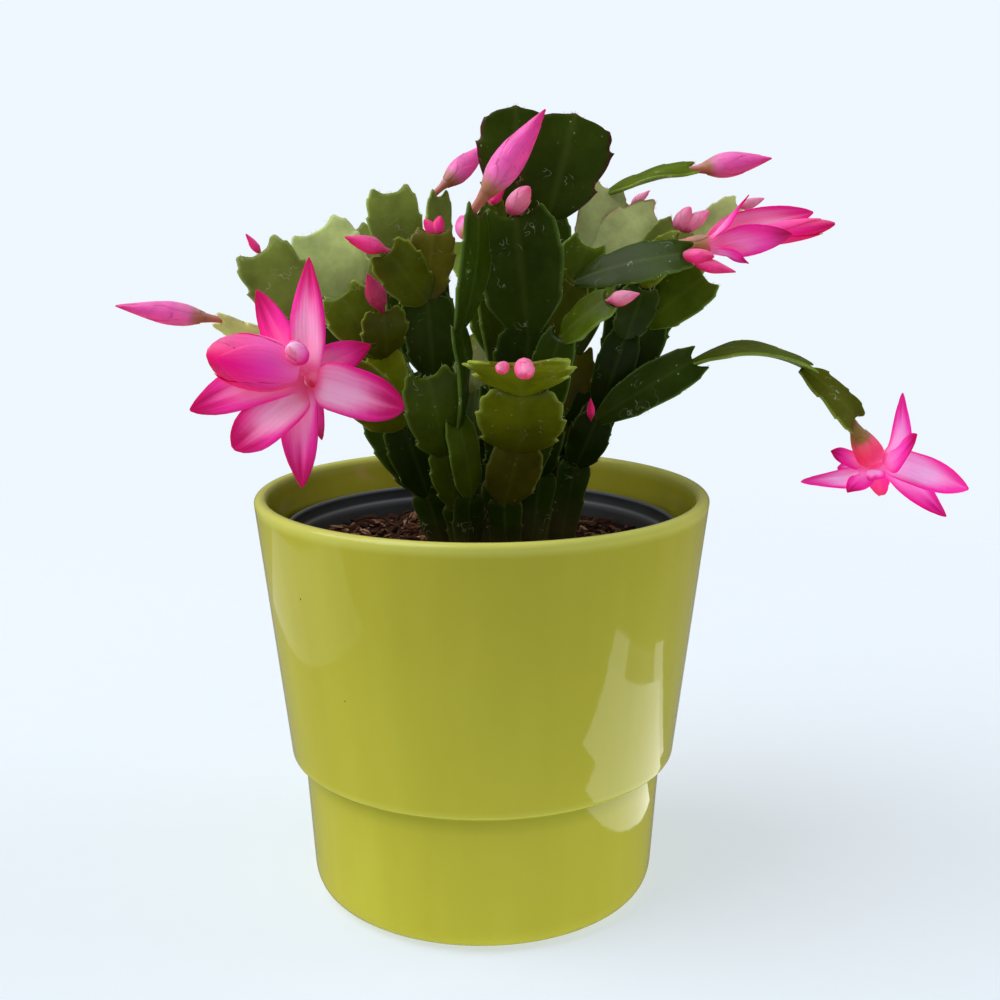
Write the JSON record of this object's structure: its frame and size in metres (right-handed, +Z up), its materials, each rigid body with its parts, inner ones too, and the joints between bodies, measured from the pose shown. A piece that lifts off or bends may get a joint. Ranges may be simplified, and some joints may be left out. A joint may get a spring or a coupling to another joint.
{
  "type": "potted christmas cactus",
  "caption": "Flowering Christmas cactus with flat toothed stem segments, pink buds and blooms, rooted in a nursery pot inside a green glazed cachepot.",
  "frame": {"origin": "centre of the flat underside of the cachepot, on the surface that it stands on", "axes": "+Z up along the pot's axis, -Y towards the side shown in the picture, +X to that side's right"},
  "size_m": [0.2738, 0.1761, 0.2634],
  "materials": {
    "glaze": "gloss",
    "nursery_plastic": "matte",
    "soil": "matte",
    "stem_flesh": "satin",
    "bud_petal": "satin",
    "bloom_petal": "satin"
  },
  "bodies": {
    "root": {"cachepot": "glaze", "nursery_pot": "nursery_plastic", "soil": "soil", "stem_front": "stem_flesh", "stem_front_left": "stem_flesh", "stem_left": "stem_flesh", "stem_far_left": "stem_flesh", "stem_centre": "stem_flesh", "stem_top": "stem_flesh", "stem_top_left": "stem_flesh", "stem_right": "stem_flesh", "stem_arch": "stem_flesh", "stem_right_back": "stem_flesh", "stem_back_right": "stem_flesh", "stem_back": "stem_flesh", "stem_back_left": "stem_flesh", "bud_far_left": "bud_petal", "bud_top_front": "bud_petal", "bud_top_left": "bud_petal", "bud_right_top": "bud_petal", "bud_pair_right_back": "bud_petal", "bud_pair_right": "bud_petal", "bud_pair_left": "bud_petal", "bud_left_low": "bud_petal", "bud_left_high": "bud_petal", "bud_centre": "bud_petal", "bud_centre_small": "bud_petal", "bud_front_a": "bud_petal", "bud_front_b": "bud_petal", "bud_front_right": "bud_petal", "bud_far_left_small": "bud_petal", "bud_back_right_small": "bud_petal", "bud_right_edge": "bud_petal", "bud_back_top": "bud_petal", "bud_back": "bud_petal", "bud_back_left": "bud_petal", "bud_back_right": "bud_petal", "bloom_left": "bloom_petal", "bloom_right": "bloom_petal", "bloom_opening": "bloom_petal"}
  },
  "joints": []
}
